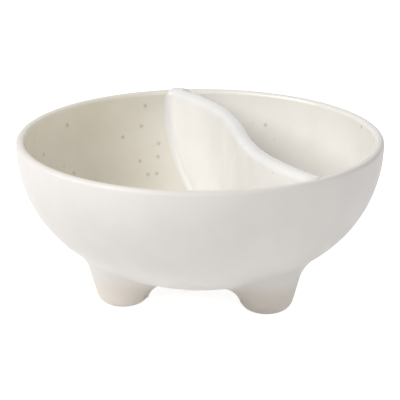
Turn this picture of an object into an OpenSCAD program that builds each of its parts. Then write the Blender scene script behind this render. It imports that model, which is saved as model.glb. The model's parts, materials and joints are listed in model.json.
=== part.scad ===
// Divided serving bowl: a round stoneware bowl on three feet, split by one wavy divider.
// The origin is on the table under the bowl's axis. +X points to the smaller compartment,
// and the divider runs along Y.

/* [Bowl] */
// Outside diameter at the rim
rim_d = 170; // [150:1:220]
// Outside depth, from the top of the rim to the underside
bowl_depth = 69.6; // [50:0.1:90]
// Height of the straight band under the rim's rounding
lip_h = 0.4; // [0.2:0.1:6]
// Angle that the side turns through below the rim before the base curve takes over
side_turn = 53.4; // [40:0.2:65]
// Thickness of the wall
wall = 4.2; // [3:0.1:6]

/* [Divider] */
// Thickness of the divider at its top, before the two edges are rounded
divider_t = 7.2; // [6:0.1:12]
// Distance from the bowl's axis to the line that the divider waves about
divider_offset = 20; // [5:0.1:30]
// How far the divider swings to each side of that line
wave_h = 6.3; // [2:0.1:12]
// Height of the divider's top above the rim
divider_rise = 1; // [0:0.1:3]
// Rounding of the divider's two top edges
divider_edge_r = 3.5; // [0.5:0.1:4]
// Slope of the divider's two faces from upright, in degrees
divider_slope = 3; // [0:0.5:6]

/* [Feet] */
// Height of the bowl's underside above the table
stand_h = 7.3; // [5:0.1:16]
// Distance from the bowl's axis to the middle of each foot
foot_circle_r = 38.8; // [30:0.1:46]
// Radius at which a foot's sloped side would meet the table
foot_r = 11.1; // [9:0.1:14]
// Rounding of a foot's lower edge
foot_edge_r = 6.8; // [2:0.1:7]
// Slope of a foot's side from upright, in degrees
foot_slope = 15; // [5:1:20]

/* [Joints] */
// Layer of slip that bonds each foot and the divider to the bowl
slip_t = 0.05; // [0.02:0.01:0.2]

/* [Hidden] */
$fn = 96;
curve_steps = 16;
edge_steps = 5;

cream = "#ece7e0";
oatmeal = "#e2dbcb";

// Heights of the rim and of the line where the straight band ends
rim_z = stand_h + bowl_depth;
lip_z = rim_z - wall / 2 - lip_h;

// The outside is a side arc about [side_x, lip_z] that runs on smoothly into a base arc
// about [0, base_z]. They join on the line through both centres, which lie centre_gap apart.
curve_h = lip_z - stand_h;
centre_gap = (rim_d / 2 - curve_h) / (cos(side_turn) + sin(side_turn) - 1);
side_x = centre_gap * cos(side_turn);
side_r = rim_d / 2 - side_x;
base_r = side_r + centre_gap;
base_z = stand_h + base_r;

// The divider follows one full sine wave between the two points where it meets the wall
cavity_r = rim_d / 2 - wall;
wave_half = sqrt(pow(cavity_r, 2) - pow(divider_offset, 2));
wave_end = wave_half + 2 * wall;
wave_steps = 40;
divider_z = rim_z + divider_rise;
// Least half width of the flat that the two roundings leave along the divider's top
least_flat = 0.1;

// Where a foot's rounded edge leaves the table and where it runs into the sloped side
pad_r = foot_r + foot_edge_r * tan(foot_slope) - foot_edge_r / cos(foot_slope);
edge_end = [pad_r + foot_edge_r * cos(foot_slope), foot_edge_r * (1 - sin(foot_slope))];

// A pie slice of a disc between two angles less than 180 degrees apart
module slice(centre, r, from, to) {
    middle = (from + to) / 2;
    reach = 2 * r / cos((to - from) / 2);
    intersection() {
        translate(centre) circle(r = r);
        polygon([
            centre,
            centre + reach * [cos(from), sin(from)],
            centre + reach * [cos(middle), sin(middle)],
            centre + reach * [cos(to), sin(to)]
        ]);
    }
}

// Points along an arc, leaving out its first point
function arc(centre, r, from, to, steps) = [
    for (i = [1:steps])
        let (a = from + (to - from) * i / steps)
            centre + r * [cos(a), sin(a)]
];

// Right-hand line of the bowl's outside from the axis up to the straight band, moved outwards by grow
function form_line(grow) = concat(
    [[0, stand_h - grow]],
    arc([0, base_z], base_r + grow, -90, -side_turn, curve_steps),
    arc([side_x, lip_z], side_r + grow, -side_turn, 0, curve_steps)
);

function reversed(points) = [for (i = [len(points) - 1:-1:0]) points[i]];

// The bowl's outside, moved outwards by grow, as a filled solid up to a flat top
module form(grow, top_z) {
    rotate_extrude()
        polygon(concat(form_line(grow), [[rim_d / 2 + grow, top_z], [0, top_z]]));
}

// Outline of the divider across its middle plane, from the table up to its rounded top.
// Each rounding takes edge_share of its radius off the half width of the top
function divider_section() =
    let (
        half_t = divider_t / 2,
        base_half = half_t + divider_z * tan(divider_slope),
        edge_share = 1 / cos(divider_slope) - tan(divider_slope),
        edge_r = min(divider_edge_r, (half_t - least_flat) / edge_share),
        flat = half_t - edge_r * edge_share,
        centre_z = divider_z - edge_r,
        edge_start = [flat, centre_z] + edge_r * [cos(divider_slope), sin(divider_slope)]
    )
    concat(
        [[-base_half, 0], [base_half, 0], edge_start],
        arc([flat, centre_z], edge_r, divider_slope, 90, edge_steps),
        [[-flat, divider_z]],
        arc([-flat, centre_z], edge_r, 90, 180 - divider_slope, edge_steps)
    );

// The divider's outline set across the wave at one place along Y
function divider_ring(y) =
    let (
        middle = divider_offset + wave_h * sin(180 * y / wave_half),
        heading = atan(wave_h * PI / wave_half * cos(180 * y / wave_half))
    )
    [for (p = divider_section()) [middle + p.x * cos(heading), y - p.x * sin(heading), p.y]];

// A closed skin over a row of rings that all have the same number of points
module skin(rings) {
    size = len(rings[0]);
    last = len(rings) - 1;
    sides = [
        for (i = [0:last - 1], j = [0:size - 1])
            let (next = (j + 1) % size)
                [i * size + j, i * size + next, (i + 1) * size + next, (i + 1) * size + j]
    ];
    first_cap = [for (j = [size - 1:-1:0]) j];
    last_cap = [for (j = [0:size - 1]) last * size + j];
    polyhedron([for (ring = rings) each ring], concat(sides, [first_cap, last_cap]));
}

// Half section of a foot: a flat pad, a rounded edge and a sloped side
module foot_section() {
    top_z = stand_h + bowl_depth / 2;
    top_r = foot_r + top_z * tan(foot_slope);
    slice([pad_r, foot_edge_r], foot_edge_r, -90, -foot_slope);
    polygon([[0, 0], [pad_r, 0], [pad_r, foot_edge_r], edge_end, [top_r, top_z], [0, top_z]]);
}

// One foot at an angle round the bowl, cut to the bowl's underside
module foot(angle) {
    color(cream)
        difference() {
            rotate(angle) translate([foot_circle_r, 0, 0]) rotate_extrude() foot_section();
            form(slip_t, rim_z);
        }
}

module bowl() {
    rim_centre = [rim_d / 2 - wall / 2, rim_z - wall / 2];
    rim_line = concat([[rim_d / 2, rim_centre.y]], arc(rim_centre, wall / 2, 0, 180, curve_steps));
    color(cream)
        rotate_extrude()
            polygon(concat(form_line(0), rim_line, reversed(form_line(-wall))));
}

module divider() {
    color(oatmeal)
        intersection() {
            skin([for (i = [0:wave_steps]) divider_ring(wave_end * (2 * i / wave_steps - 1))]);
            form(-wall - slip_t, divider_z);
        }
}

// One foot stands under the middle of the larger compartment
module foot_left() { foot(180); }
module foot_right() { foot(-60); }
module foot_back() { foot(60); }

bowl();
divider();
foot_left();
foot_right();
foot_back();
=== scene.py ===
import json
import math

import bpy
import numpy as np
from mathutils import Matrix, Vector


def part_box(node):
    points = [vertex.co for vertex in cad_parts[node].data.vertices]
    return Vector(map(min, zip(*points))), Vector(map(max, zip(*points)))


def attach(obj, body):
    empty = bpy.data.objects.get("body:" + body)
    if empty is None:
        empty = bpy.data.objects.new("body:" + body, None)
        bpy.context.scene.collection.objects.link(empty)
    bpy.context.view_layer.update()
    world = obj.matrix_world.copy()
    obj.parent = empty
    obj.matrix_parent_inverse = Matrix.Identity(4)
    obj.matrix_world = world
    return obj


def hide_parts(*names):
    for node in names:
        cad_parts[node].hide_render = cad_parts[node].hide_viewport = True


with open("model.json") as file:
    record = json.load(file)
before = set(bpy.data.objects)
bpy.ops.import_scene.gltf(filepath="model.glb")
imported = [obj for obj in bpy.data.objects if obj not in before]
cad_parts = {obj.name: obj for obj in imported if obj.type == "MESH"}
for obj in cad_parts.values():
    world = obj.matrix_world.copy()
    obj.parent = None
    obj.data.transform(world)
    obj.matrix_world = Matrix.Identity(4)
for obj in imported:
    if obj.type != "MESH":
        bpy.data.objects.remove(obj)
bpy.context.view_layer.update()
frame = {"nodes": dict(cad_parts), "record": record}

mm = 0.001
print("frame loaded:", ", ".join(sorted(frame["nodes"])))


# Bowl: the same two arcs as the solid, with a straight band and a half-round rim

bowlForm = {
    "lipHeight": 0.4 * mm,   # straight band under the rim's rounding
    "sideTurn": 53.4,        # degrees that the side turns through before the base curve
    "wall": 4.2 * mm,
    "aroundSteps": 360,
    "baseSteps": 40,
    "sideSteps": 48,
    "rimSteps": 20,
}

bowlLow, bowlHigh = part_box("bowl")
rimRadius = (bowlHigh.x - bowlLow.x) / 2
rimTop = bowlHigh.z
wall = bowlForm["wall"]
crownZ = rimTop - wall / 2
lipZ = crownZ - bowlForm["lipHeight"]
cavityRadius = rimRadius - wall
crownRadius = rimRadius - wall / 2

sideTurn = math.radians(bowlForm["sideTurn"])
curveHeight = lipZ - bowlLow.z
centreGap = (rimRadius - curveHeight) / (math.cos(sideTurn) + math.sin(sideTurn) - 1)
sideX = centreGap * math.cos(sideTurn)
sideRadius = rimRadius - sideX
baseRadius = sideRadius + centreGap
baseZ = bowlLow.z + baseRadius


def outsideDistance(points):
    # Distance out of the bowl's outside: off the base circle below the joint of the two arcs,
    # and off the side circle above it, where the band counts as upright
    radial = np.hypot(points[..., 0], points[..., 1])
    height = points[..., 2]
    onBase = np.arctan2(height - baseZ, radial) < -sideTurn
    offBase = np.hypot(radial, height - baseZ) - baseRadius
    offSide = np.hypot(radial - sideX, np.minimum(height - lipZ, 0)) - sideRadius
    return np.where(onBase, offBase, offSide)


def insideDistance(points):
    # Distance off the bowl's inside, positive in the hollow: the outside moved in by the wall
    return -wall - outsideDistance(points)


def arcLine(centre, radius, start, end, steps):
    # Points of a circle about centre, from the start angle to the end angle
    angle = np.linspace(start, end, steps + 1)
    return np.stack([centre[0] + radius * np.cos(angle), centre[1] + radius * np.sin(angle)], axis=1)


def halving(reached, near, far, rounds=48):
    # The place between near and far where reached turns from false to true, by halving the gap
    for _ in range(rounds):
        middle = (near + far) / 2
        past = reached(middle)
        near = np.where(past, near, middle)
        far = np.where(past, middle, far)
    return (near + far) / 2


def ease(value, low, high):
    # Smooth step from 0 at low to 1 at high
    part = np.clip((value - low) / (high - low), 0, 1)
    return part * part * (3 - 2 * part)


def gridFaces(rows, columns):
    # Quads between neighbours of a grid of points whose last column joins on to the first
    index = np.arange(rows * columns).reshape(rows, columns)
    index = np.concatenate([index, index[:, :1]], axis=1)
    corners = [index[:-1, :-1], index[:-1, 1:], index[1:, 1:], index[1:, :-1]]
    return np.stack(corners, axis=-1).reshape(-1, 4)


def fanFaces(ring, pole):
    # Triangles from each step of a closed ring to one pole
    return np.stack([np.roll(ring, -1), ring, np.full_like(ring, pole)], axis=1)


def closedPiece(name, grid, lowPole, highPole, hidden=None):
    # A closed skin over rows of rings with a pole at each end, turned so that its volume is positive.
    # Faces marked as hidden lie inside another piece and stay flat, and so do the poles of such a piece
    rows, columns = grid.shape[:2]
    points = np.concatenate([grid.reshape(-1, 3), [lowPole, highPole]])
    ring = np.arange(columns)
    quads = gridFaces(rows, columns)
    lowFan = fanFaces(ring, len(points) - 2)
    highFan = fanFaces(ring + (rows - 1) * columns, len(points) - 1)[:, ::-1]
    split = np.concatenate([quads[:, [0, 1, 2]], quads[:, [0, 2, 3]], lowFan, highFan])
    corner = points[split]
    volume = np.einsum("ij,ij->i", corner[:, 0], np.cross(corner[:, 1], corner[:, 2])).sum() / 6
    faces = quads.tolist() + lowFan.tolist() + highFan.tolist()
    if volume < 0:
        faces = [face[::-1] for face in faces]
    mesh = bpy.data.meshes.new(name)
    mesh.from_pydata(points.tolist(), [], faces)
    smooth = np.ones(len(faces), dtype=bool)
    if hidden is not None:
        smooth[:len(quads)] = ~hidden.ravel()
        smooth[len(quads):] = False
    mesh.polygons.foreach_set("use_smooth", smooth)
    piece = bpy.data.objects.new(name, mesh)
    bpy.context.scene.collection.objects.link(piece)
    print(name, "made:", len(points), "points,", len(faces), "faces")
    return piece


def pointValue(piece, name, values):
    # One number per point, for the material to read
    attribute = piece.data.attributes.new(name, "FLOAT", "POINT")
    attribute.data.foreach_set("value", np.asarray(values, dtype=np.float32).ravel())


def bowlLine(grow):
    # Right-hand line of the bowl from just off the axis to the top of the side arc, moved out by grow
    base = arcLine((0, baseZ), baseRadius + grow, -math.pi / 2, -sideTurn, bowlForm["baseSteps"])
    side = arcLine((sideX, lipZ), sideRadius + grow, -sideTurn, 0, bowlForm["sideSteps"])
    return np.concatenate([base[1:], side[1:]])


def makeBowl():
    # The section line turned about Z: outside up, over the half-round rim and down the inside.
    # glazeSide runs from 0 outside to 1 inside over the rim
    outer = bowlLine(0)
    inner = bowlLine(-wall)[::-1]
    rim = arcLine((crownRadius, crownZ), wall / 2, 0, math.pi, bowlForm["rimSteps"])
    line = np.concatenate([outer, rim, inner])
    around = np.arange(bowlForm["aroundSteps"]) * 2 * math.pi / bowlForm["aroundSteps"]
    grid = np.stack(
        [
            line[:, :1] * np.cos(around),
            line[:, :1] * np.sin(around),
            np.repeat(line[:, 1:], len(around), axis=1),
        ],
        axis=-1,
    )
    piece = closedPiece("Bowl", grid, (0, 0, bowlLow.z), (0, 0, bowlLow.z + wall))
    glazeSide = ease(np.arange(len(line)), len(outer), len(outer) + bowlForm["rimSteps"])
    pointValue(piece, "glazeSide", np.append(np.repeat(glazeSide, len(around)), [0, 1]))
    return piece


# Divider: a wall with sloped faces along one sine wave, rounded on top and filleted into the bowl

dividerForm = {
    "topWidth": 7.2 * mm,    # between the two faces at the level of the top
    "offset": 20 * mm,       # from the bowl's axis to the middle line of the wave
    "swing": 6.3 * mm,       # how far the wave swings to each side
    "edge": 3.5 * mm,        # rounding of the top edges
    "slope": 3,              # degrees of the faces from upright
    "fillet": 2.6 * mm,      # radius of the fillet into the bowl
    "bury": 1.2 * mm,        # how deep the hidden foot of the wall sits in the bowl's wall
    "firstTurn": 4,          # degrees of the fillet at which the flared ends are cut off
    "wingDrop": 2.2 * mm,    # how far the flared ends lie under the top
    "wingWidth": 7 * mm,     # over which they fall away from the middle line
    "wingLength": 7 * mm,    # over which they fall away towards the rim
    "endSink": 2.6 * mm,     # how far the top dips as it runs out over the rim
    "endReach": 0.85,        # share of the rim's width that it runs over
    "flareSteps": 14,
    "alongSteps": 150,
    "edgeSteps": 10,
    "sideSteps": 20,
    "filletSteps": 12,
    "endSteps": 6,
}

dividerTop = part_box("divider")[1].z
dividerSlope = math.radians(dividerForm["slope"])
waveHalf = math.sqrt(cavityRadius ** 2 - dividerForm["offset"] ** 2)


def wavePoint(along, across, height):
    # A point of the divider: x follows offset + swing sin(pi along / waveHalf), and across is
    # measured square to the wave's heading
    phase = math.pi * along / waveHalf
    heading = np.arctan(dividerForm["swing"] * math.pi / waveHalf * np.cos(phase))
    middle = dividerForm["offset"] + dividerForm["swing"] * np.sin(phase)
    spots = np.broadcast_arrays(middle + across * np.cos(heading), along - across * np.sin(heading), height)
    return np.stack(spots, axis=-1)


def dividerSide(side):
    # One face from its rounded top edge down to the toe of the fillet. Along a fillet of radius f
    # a point lies f (1 - sin turn) off the face and f (1 - cos turn) off the bowl. Each end flares
    # round the same fillet in plan until it runs into the bowl's upright band. The top drops by
    # edge (1 - sqrt(1 - tilt squared)) towards the outline, and its flared ends fall away as wings
    # with the distance from the middle line and from the rim. The two drops add up as squares
    fillet = dividerForm["fillet"]
    edge = dividerForm["edge"]
    half = dividerForm["topWidth"] / 2
    flareTurn = np.linspace(math.radians(dividerForm["firstTurn"]), math.pi / 2, dividerForm["flareSteps"])

    def offFace(turn):
        return fillet * (1 - np.sin(turn)) / math.cos(dividerSlope)

    def place(along, turn, height):
        lean = (dividerTop - height) * math.tan(dividerSlope)
        return wavePoint(along, side * (half + lean + offFace(turn)), height)

    def reached(along, turn, height):
        return insideDistance(place(along, turn, height)) < fillet * (1 - np.cos(turn))

    def flareEnd(direction):
        start = np.zeros_like(flareTurn)
        end = start + direction * (waveHalf + 4 * fillet)  # well past the wall
        return halving(lambda along: reached(along, flareTurn, lipZ), start, end)

    front = flareEnd(-1)
    back = flareEnd(1)
    face = np.linspace(front[-1], back[-1], dividerForm["alongSteps"] + 1)[1:-1]
    along = np.concatenate([front, face, back[::-1]])[:, None]
    startTurn = np.concatenate([flareTurn, np.full(len(face), math.pi / 2), flareTurn[::-1]])[:, None]

    turn = startTurn * np.linspace(1, 0, dividerForm["filletSteps"] + 1)
    high = np.full(turn.shape, lipZ)
    low = np.full(turn.shape, bowlLow.z)
    drop = halving(lambda height: reached(along, turn, height), high, low)
    filletRows = place(along, turn, drop)
    toe = filletRows[:, -1:]
    sunkRow = toe - [0, 0, dividerForm["bury"]]

    flare = offFace(startTurn)
    edgeShare = 1 / math.cos(dividerSlope) - math.tan(dividerSlope)
    rise = np.linspace(math.pi / 2, dividerSlope, dividerForm["edgeSteps"] + 1)
    plainAcross = half - edge * (edgeShare - np.cos(rise))
    across = plainAcross + flare * np.minimum(plainAcross / half, 1)
    tilt = np.clip(edgeShare - (half + flare - across) / edge, 0, 1)
    roundDrop = edge * (1 - np.sqrt(1 - tilt ** 2))
    topRows = wavePoint(along, side * across, dividerTop)
    toRim = np.hypot(topRows[..., 0], topRows[..., 1]) - cavityRadius
    nearRim = ease(toRim, -dividerForm["wingLength"], 0)
    wingDrop = dividerForm["wingDrop"] * nearRim * ease(across, 0, dividerForm["wingWidth"])
    topRows[..., 2] -= np.hypot(roundDrop, wingDrop)
    edgeRows = topRows[:, :-1]
    shoulder = topRows[:, -1:, 2]

    share = np.linspace(0, 1, dividerForm["sideSteps"] + 1)[:-1]
    sideRows = place(along, startTurn, shoulder * (1 - share) + drop[:, :1] * share)
    return np.concatenate([edgeRows, sideRows, filletRows, sunkRow], axis=1)


def dividerEnd(ring, onTop):
    # Rings that carry one end of the divider into the bowl's wall. The rounded top runs on over the
    # rim, sinking as the fourth power of its way, and the faces only go as deep as bury
    radial = np.linalg.norm(ring[:, :2], axis=1)
    rings = []
    for share in np.linspace(0, 1, dividerForm["endSteps"] + 1)[1:]:
        over = cavityRadius + wall * dividerForm["endReach"] * share
        reach = np.where(onTop, np.maximum(radial, over), radial + dividerForm["bury"] * share)
        sink = np.where(onTop, dividerForm["endSink"] * share ** 4, 0)
        pushed = ring.copy()
        pushed[:, :2] *= (reach / radial)[:, None]
        pushed[:, 2] -= sink
        rings.append(pushed)
    return np.stack(rings)


def makeDivider():
    # Rings that run up one face, over the top and down the other, with an end set into the wall at
    # each side. The sunk strips, the underside and the faces within the wall are hidden
    left = dividerSide(-1)
    right = dividerSide(1)
    rings = np.concatenate([left[:, ::-1], right], axis=1)
    columns = rings.shape[1]
    place = np.arange(columns)
    onTop = np.abs(place - (columns - 1) / 2) < dividerForm["edgeSteps"]
    front = dividerEnd(rings[0], onTop)[::-1]
    back = dividerEnd(rings[-1], onTop)
    grid = np.concatenate([front, rings, back])
    hidden = np.zeros((len(grid) - 1, columns), dtype=bool)
    hidden[:, [0, -2, -1]] = True
    hidden[:len(front), ~onTop] = True
    hidden[-len(back):, ~onTop] = True
    return closedPiece("Divider", grid, grid[0].mean(axis=0), grid[-1].mean(axis=0), hidden)


# Feet: a flat pad, a rounded edge, a sloped side and a fillet into the bowl's underside

footForm = {
    "radius": 11.1 * mm,     # where the sloped side would meet the table
    "edge": 6.8 * mm,        # rounding of the lower edge
    "slope": 15,             # degrees from upright
    "fillet": 4 * mm,        # on the side that faces out
    "innerFillet": 9 * mm,   # on the side under the bowl
    "bury": 1.2 * mm,        # how deep its hidden top sits in the bowl's wall
    "aroundSteps": 160,
    "padSteps": 5,
    "edgeSteps": 14,
    "sideSteps": 16,
    "filletSteps": 16,
}


def makeFoot(name, pad):
    # Rings about the foot's own axis. Along the fillet a point lies f (1 - sin turn) off the sloped
    # side and f (1 - cos turn) off the bowl, with f growing from the outer to the inner side
    slope = math.radians(footForm["slope"])
    edge = footForm["edge"]
    around = np.arange(footForm["aroundSteps"]) * 2 * math.pi / footForm["aroundSteps"]
    inner = (1 - np.cos(around - math.atan2(pad[1], pad[0]))) / 2
    fillet = (footForm["fillet"] + (footForm["innerFillet"] - footForm["fillet"]) * inner)[:, None]
    turn = np.linspace(math.pi / 2, 0, footForm["filletSteps"] + 1)

    def spot(radius, height):
        x = pad[0] + radius * np.cos(around)[:, None]
        y = pad[1] + radius * np.sin(around)[:, None]
        return np.stack(np.broadcast_arrays(x, y, height), axis=-1)

    def offSide(climb, off):
        radius = footForm["radius"] + climb * math.tan(slope) + off * math.cos(slope)
        return spot(radius, climb - off * math.sin(slope))

    off = fillet * (1 - np.sin(turn))
    offBowl = fillet * (1 - np.cos(turn))
    ground = np.zeros(off.shape)
    climb = halving(lambda c: outsideDistance(offSide(c, off)) < offBowl, ground, ground + rimTop)
    filletRows = offSide(climb, off)
    sunkRow = filletRows[:, -1:] + [0, 0, footForm["bury"]]

    padRadius = footForm["radius"] + edge * math.tan(slope) - edge / math.cos(slope)
    padLine = np.linspace(0, padRadius, footForm["padSteps"] + 1)[1:-1]
    roundLine = arcLine((padRadius, edge), edge, -math.pi / 2, -slope, footForm["edgeSteps"])
    padRows = spot(padLine, 0.0)
    roundRows = spot(roundLine[:, 0], roundLine[:, 1])
    share = np.linspace(0, 1, footForm["sideSteps"] + 1)[1:-1]
    sideStart = roundRows[:, -1:]
    sideRows = sideStart + (filletRows[:, :1] - sideStart) * share[:, None]
    lines = np.concatenate([padRows, roundRows, sideRows, filletRows, sunkRow], axis=1)
    rings = lines.transpose(1, 0, 2)
    hidden = np.zeros((len(rings) - 1, len(around)), dtype=bool)
    hidden[-1] = True
    top = sunkRow[:, 0].mean(axis=0)
    return closedPiece(name, rings, (pad[0], pad[1], 0), top, hidden)


# Glaze: satin cream outside, and glossy oatmeal with iron specks inside, with painted light in the smaller
# compartment and on the divider

glazeLook = {
    "outside": (0.775, 0.742, 0.712),
    "footTint": (0.93, 0.90, 0.85),    # darker and warmer towards the table
    "tintHeights": (9 * mm, 19 * mm),  # between which that fades out
    "inside": (0.855, 0.805, 0.685),
    "insideLit": (0.91, 0.88, 0.82),   # painted light: lighter and whiter in the smaller compartment, whose wall faces the key lamp
    "litSpan": (-30 * mm, 40 * mm),   # places along X between which the painted light comes in
    # Painted light: the divider wears the inside's glaze, painted lighter and whiter where its face is lit
    "divider": (0.89, 0.877, 0.857),
    "dividerSpecular": 0.3,            # the coat is thin there and shines less
    "outsideRoughness": 0.45,
    "insideRoughness": 0.2,
    "cloudSize": 9 * mm,               # soft clouds in the shine
    "cloudRoughness": 0.06,
    "mottleSize": 22 * mm,             # large patches in the tone
    "mottleRange": (0.3, 0.7),         # of the noise that makes them
    "mottleShades": (0.965, 1.01),
    "peelSize": 3 * mm,                # fine waves in the surface
    "peelDepth": 0.05 * mm,
    "peelStrength": 0.4,
}

# Iron in the inside glaze
speckLook = {
    "colour": (0.20, 0.15, 0.10),
    "ragged": 0.9 * mm,                # how far noise pulls the specks out of round
    "fineSpacing": 6 * mm,
    "finePick": 0.5,                   # share of the cells that stay plain
    "fineReach": 0.13,                 # largest radius and soft edge of one, as shares of the spacing
    "fineEdge": (-0.02, 0.12),
    "fineStrength": 0.3,
    "spotSpacing": 9 * mm,
    "spotFade": (0.13 * mm, 1.56 * mm),  # distances from its middle between which a spot fades out
    "spotStrength": 0.34,
    "frontPart": (-5 * mm, 5 * mm),    # along Y, over which the scattered spots of the front end
    "deepPart": (30 * mm, 36 * mm),    # along Z, over which those of the floor end
}

# The plainest iron spots on the bowl's inside: degrees round the axis and height over the table
ironSpots = [
    (90, 60 * mm), (98, 56 * mm), (84, 51 * mm), (85, 45 * mm), (93, 44 * mm), (87, 38 * mm),
    (91, 38 * mm), (122, 68 * mm), (140, 60 * mm), (126, 46 * mm), (88, 70 * mm), (43, 61 * mm),
]


class NodeSheet:
    # A material's nodes, added one at a time. A value is a number, a colour or another node's socket
    def __init__(self, name):
        self.material = bpy.data.materials.new(name)
        self.material.use_nodes = True
        self.tree = self.material.node_tree
        self.shader = self.tree.nodes["Principled BSDF"]

    def put(self, socket, value):
        # A link from another socket, or else the socket's own value
        if isinstance(value, bpy.types.NodeSocket):
            self.tree.links.new(value, socket)
        else:
            socket.default_value = value

    def add(self, kind, settings=None, **inputs):
        # A node with its settings and named inputs
        node = self.tree.nodes.new(kind)
        for key, value in (settings or {}).items():
            setattr(node, key, value)
        for key, value in inputs.items():
            self.put(node.inputs[key], value)
        return node

    def math(self, operation, first, second):
        # first and second joined by one operation
        node = self.add("ShaderNodeMath", {"operation": operation})
        self.put(node.inputs[0], first)
        self.put(node.inputs[1], second)
        return node.outputs[0]

    def ramp(self, value, low, high, toLow=0.0, toHigh=1.0):
        # Smooth step from toLow at low to toHigh at high
        node = self.add("ShaderNodeMapRange", {"interpolation_type": "SMOOTHSTEP"}, Value=value)
        node.inputs["From Min"].default_value = low
        node.inputs["From Max"].default_value = high
        node.inputs["To Min"].default_value = toLow
        node.inputs["To Max"].default_value = toHigh
        return node.outputs["Result"]

    def mix(self, factor, first, second):
        # first where factor is 0 and second where it is 1
        node = self.add("ShaderNodeMix", {"data_type": "RGBA"})
        self.put(node.inputs["Factor"], factor)
        self.put(node.inputs[6], first)   # the colour inputs and output of a mix node
        self.put(node.inputs[7], second)
        return node.outputs[2]

    def scaled(self, value, factor):
        # A colour times a number
        node = self.add("ShaderNodeVectorMath", {"operation": "SCALE"}, Scale=factor)
        self.put(node.inputs[0], value)
        return node.outputs[0]

    def noise(self, place, size, detail=2.0):
        # Soft noise between 0 and 1 in patches of about size
        node = self.add("ShaderNodeTexNoise", Vector=place, Scale=1 / size, Detail=detail)
        return node.outputs["Fac"]


def colour(rgb):
    # The three parts of a colour and full opacity
    return (*rgb, 1.0)


def innerSpot(angle, height):
    # The place on the bowl's inside at an angle and a height, found along the radius
    turn = math.radians(angle)
    ray = np.array([math.cos(turn), math.sin(turn)])

    def past(radius):
        return insideDistance(np.array([*(ray * radius), height])) < 0

    radius = halving(past, np.array(0.0), np.array(rimRadius))
    return (*(ray * radius), height)


def pulledPlace(sheet, place):
    # The place moved by noise of up to half of ragged each way, which pulls round specks out of shape
    ragged = speckLook["ragged"]
    noise = sheet.add("ShaderNodeTexNoise", Vector=place, Scale=1 / ragged, Detail=1.0)
    pull = sheet.add("ShaderNodeVectorMath", {"operation": "MULTIPLY_ADD"})
    sheet.put(pull.inputs[0], noise.outputs["Color"])
    sheet.put(pull.inputs[1], (ragged,) * 3)
    sheet.put(pull.inputs[2], place)
    centred = sheet.add("ShaderNodeVectorMath", {"operation": "SUBTRACT"})
    sheet.put(centred.inputs[0], pull.outputs[0])
    sheet.put(centred.inputs[1], (ragged / 2,) * 3)
    return centred.outputs[0]


def fineSpecks(sheet, place):
    # Specks about the points of a cell pattern, each as wide as its cell's own random number says
    cells = sheet.add("ShaderNodeTexVoronoi", Vector=place, Scale=1 / speckLook["fineSpacing"])
    pick = sheet.add("ShaderNodeSeparateColor", Color=cells.outputs["Color"]).outputs[0]
    reach = sheet.ramp(pick, speckLook["finePick"], 1.0, 0.0, speckLook["fineReach"])
    within = sheet.math("SUBTRACT", reach, cells.outputs["Distance"])
    return sheet.ramp(within, *speckLook["fineEdge"], 0.0, speckLook["fineStrength"])


def plainSpots(sheet, place, scattered):
    # Spots that fade with the distance from their middle: the listed ones at their own places, and
    # others about the points of a cell pattern where scattered is 1
    def spot(distance):
        return sheet.ramp(distance, *speckLook["spotFade"], speckLook["spotStrength"], 0.0)

    spacing = speckLook["spotSpacing"]
    cells = sheet.add("ShaderNodeTexVoronoi", Vector=place, Scale=1 / spacing)
    fromMiddle = sheet.math("MULTIPLY", cells.outputs["Distance"], spacing)
    spots = sheet.math("MULTIPLY", spot(fromMiddle), scattered)
    for angle, height in ironSpots:
        away = sheet.add("ShaderNodeVectorMath", {"operation": "DISTANCE"})
        sheet.put(away.inputs[0], place)
        sheet.put(away.inputs[1], innerSpot(angle, height))
        spots = sheet.math("MAXIMUM", spots, spot(away.outputs["Value"]))
    return spots


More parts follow.
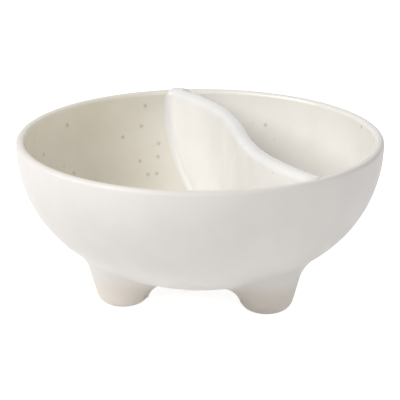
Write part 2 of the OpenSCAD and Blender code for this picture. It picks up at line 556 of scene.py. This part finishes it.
def glaze(name, kind):
    # The coat of a bowl, a divider or a foot. side runs from 0 on the outside to 1 on the inside.
    # The colour is the tone times the mottle, mixed with iron by the specks times side. The roughness
    # runs from the outside's to the inside's with side, plus the clouds
    sheet = NodeSheet(name)
    place = sheet.add("ShaderNodeTexCoord").outputs["Object"]
    axes = sheet.add("ShaderNodeSeparateXYZ", Vector=place).outputs
    outside = colour(glazeLook["outside"])
    if kind == "bowl":
        side = sheet.add("ShaderNodeAttribute", {"attribute_name": "glazeSide"}).outputs["Fac"]
        # Painted light: the inside turns lighter and whiter along X towards the smaller compartment
        litShare = sheet.ramp(axes["X"], *glazeLook["litSpan"])
        inside = sheet.mix(litShare, colour(glazeLook["inside"]), colour(glazeLook["insideLit"]))
        tone = sheet.mix(side, outside, inside)
    elif kind == "divider":
        side = 1.0
        # painted light: the divider's lighter, whiter tone stands for its lit face
        tone = glazeLook["divider"]
        sheet.put(sheet.shader.inputs["Specular IOR Level"], glazeLook["dividerSpecular"])
    else:
        side = 0.0
        lowTone = [part * tint for part, tint in zip(glazeLook["outside"], glazeLook["footTint"])]
        low = sheet.ramp(axes["Z"], *glazeLook["tintHeights"], 1.0, 0.0)
        tone = sheet.mix(low, outside, colour(lowTone))

    patches = sheet.noise(place, glazeLook["mottleSize"], detail=3.0)
    base = sheet.scaled(tone, sheet.ramp(patches, *glazeLook["mottleRange"], *glazeLook["mottleShades"]))
    if kind != "foot":
        pulled = pulledPlace(sheet, place)
        specks = fineSpecks(sheet, pulled)
        if kind == "bowl":
            front = sheet.ramp(axes["Y"], *speckLook["frontPart"], 1.0, 0.0)
            deep = sheet.ramp(axes["Z"], *speckLook["deepPart"], 1.0, 0.0)
            spots = plainSpots(sheet, pulled, sheet.math("MAXIMUM", front, deep))
            specks = sheet.math("MAXIMUM", specks, spots)
        base = sheet.mix(sheet.math("MULTIPLY", specks, side), base, colour(speckLook["colour"]))
    sheet.put(sheet.shader.inputs["Base Color"], base)

    cloud = sheet.math("MULTIPLY", sheet.noise(place, glazeLook["cloudSize"]), glazeLook["cloudRoughness"])
    gloss = glazeLook["insideRoughness"] - glazeLook["outsideRoughness"]
    finish = sheet.math("ADD", glazeLook["outsideRoughness"], sheet.math("MULTIPLY", side, gloss))
    sheet.put(sheet.shader.inputs["Roughness"], sheet.math("ADD", finish, cloud))

    bump = sheet.add(
        "ShaderNodeBump",
        Height=sheet.noise(place, glazeLook["peelSize"]),
        Distance=glazeLook["peelDepth"],
        Strength=glazeLook["peelStrength"],
    )
    sheet.put(sheet.shader.inputs["Normal"], bump.outputs[0])
    return sheet.material


# Pieces of the object

def dress(piece, node, material):
    # A piece in its glaze, riding on the one body in place of its solid
    piece.data.materials.append(material)
    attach(piece, "root")
    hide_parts(node)


dress(makeBowl(), "bowl", glaze("BowlGlaze", "bowl"))
dress(makeDivider(), "divider", glaze("DividerGlaze", "divider"))
footGlaze = glaze("FootGlaze", "foot")
footNames = {"foot_left": "FootLeft", "foot_right": "FootRight", "foot_back": "FootBack"}
pads = {mount["name"]: mount["pos_m"] for mount in frame["record"]["mounts"]}
for footNode, pieceName in footNames.items():
    dress(makeFoot(pieceName, pads[footNode + "_pad"]), footNode, footGlaze)
print("pieces dressed")


# Stage: camera at the photograph's angle, a white floor and five soft boxes

stageSet = {
    "azimuth": -22.2,        # degrees round the bowl from -Y
    "cameraOut": 734 * mm,
    "cameraUp": 292.6 * mm,
    "cameraPitch": 71.36,    # degrees up from straight down
    "lens": 148.54,          # millimetres
    "ambient": 0.03,         # what the white surroundings add to the light
    "floorHalf": 4.0,        # metres from the middle to each edge
    "floorColour": (0.9, 0.9, 0.9),
    "floorLift": 0.8,        # glow of the floor where it is seen, which whitens it
}

# Soft boxes: degrees round from the camera and up, metres out from the bowl and across, and watts
softBoxes = {
    "KeyBox": {"azimuth": -68, "elevation": 42, "distance": 1.0, "size": 0.7, "power": 9.0},
    "FrontBox": {"azimuth": 0, "elevation": 15, "distance": 1.0, "size": 0.7, "power": 2.35},
    "RightBox": {"azimuth": 46, "elevation": 15, "distance": 1.0, "size": 0.7, "power": 1.6},
    "SideBox": {"azimuth": 90, "elevation": 12, "distance": 1.0, "size": 0.7, "power": 1.6},
    "BackBox": {"azimuth": 150, "elevation": 45, "distance": 1.0, "size": 0.7, "power": 1.7},
}


def aroundBowl(azimuth, distance, height):
    # A place round the bowl's axis, with the azimuth measured from the camera's own
    angle = math.radians(stageSet["azimuth"] + azimuth)
    return (distance * math.sin(angle), -distance * math.cos(angle), height)


def makeCamera():
    # A camera level across, pitched down at the bowl from its own azimuth
    data = bpy.data.cameras.new("Camera")
    data.lens = stageSet["lens"]
    camera = bpy.data.objects.new("Camera", data)
    camera.location = aroundBowl(0, stageSet["cameraOut"], stageSet["cameraUp"])
    camera.rotation_euler = (math.radians(stageSet["cameraPitch"]), 0, math.radians(stageSet["azimuth"]))
    bpy.context.scene.collection.objects.link(camera)
    bpy.context.scene.camera = camera


def makeLamp(name, box):
    # A square soft box that faces the middle of the bowl
    data = bpy.data.lights.new(name, "AREA")
    data.size = box["size"]
    data.energy = box["power"]
    lamp = bpy.data.objects.new(name, data)
    middle = Vector((0, 0, rimTop / 2))
    elevation = math.radians(box["elevation"])
    out = box["distance"] * math.cos(elevation)
    lamp.location = middle + Vector(aroundBowl(box["azimuth"], out, box["distance"] * math.sin(elevation)))
    lamp.rotation_euler = (middle - lamp.location).to_track_quat("-Z", "Y").to_euler()
    bpy.context.scene.collection.objects.link(lamp)


def backdropFactor(tree):
    # 1 for what the camera sees directly, in gloss or through glass, and 0 for light that lands on things
    path = tree.nodes.new("ShaderNodeLightPath")
    total = path.outputs["Is Camera Ray"]
    for name in ("Is Glossy Ray", "Is Transmission Ray"):
        node = tree.nodes.new("ShaderNodeMath")
        node.operation = "MAXIMUM"
        tree.links.new(total, node.inputs[0])
        tree.links.new(path.outputs[name], node.inputs[1])
        total = node.outputs[0]
    return total


def makeWorld():
    # White where the surroundings are seen, and only ambient for the light that lands on things
    world = bpy.data.worlds.new("Studio")
    world.use_nodes = True
    bpy.context.scene.world = world
    tree = world.node_tree
    strength = tree.nodes.new("ShaderNodeMapRange")
    tree.links.new(backdropFactor(tree), strength.inputs["Value"])
    strength.inputs["To Min"].default_value = stageSet["ambient"]
    strength.inputs["To Max"].default_value = 1.0
    background = tree.nodes["Background"]
    background.inputs["Color"].default_value = (1, 1, 1, 1)
    tree.links.new(strength.outputs["Result"], background.inputs["Strength"])


def makeFloor():
    # White paper under the bowl that still takes its shadow
    half = stageSet["floorHalf"]
    mesh = bpy.data.meshes.new("Floor")
    corners = [(-half, -half, 0), (half, -half, 0), (half, half, 0), (-half, half, 0)]
    mesh.from_pydata(corners, [], [(0, 1, 2, 3)])
    floor = bpy.data.objects.new("Floor", mesh)
    bpy.context.scene.collection.objects.link(floor)
    sheet = NodeSheet("FloorPaper")
    sheet.put(sheet.shader.inputs["Base Color"], colour(stageSet["floorColour"]))
    sheet.put(sheet.shader.inputs["Roughness"], 1.0)
    sheet.put(sheet.shader.inputs["Specular IOR Level"], 0.0)
    sheet.put(sheet.shader.inputs["Emission Color"], (1, 1, 1, 1))
    lift = sheet.math("MULTIPLY", backdropFactor(sheet.tree), stageSet["floorLift"])
    sheet.put(sheet.shader.inputs["Emission Strength"], lift)
    mesh.materials.append(sheet.material)


makeCamera()
for boxName, box in softBoxes.items():
    makeLamp(boxName, box)
makeWorld()
makeFloor()
bpy.context.scene.view_settings.view_transform = "Standard"
print("stage set")
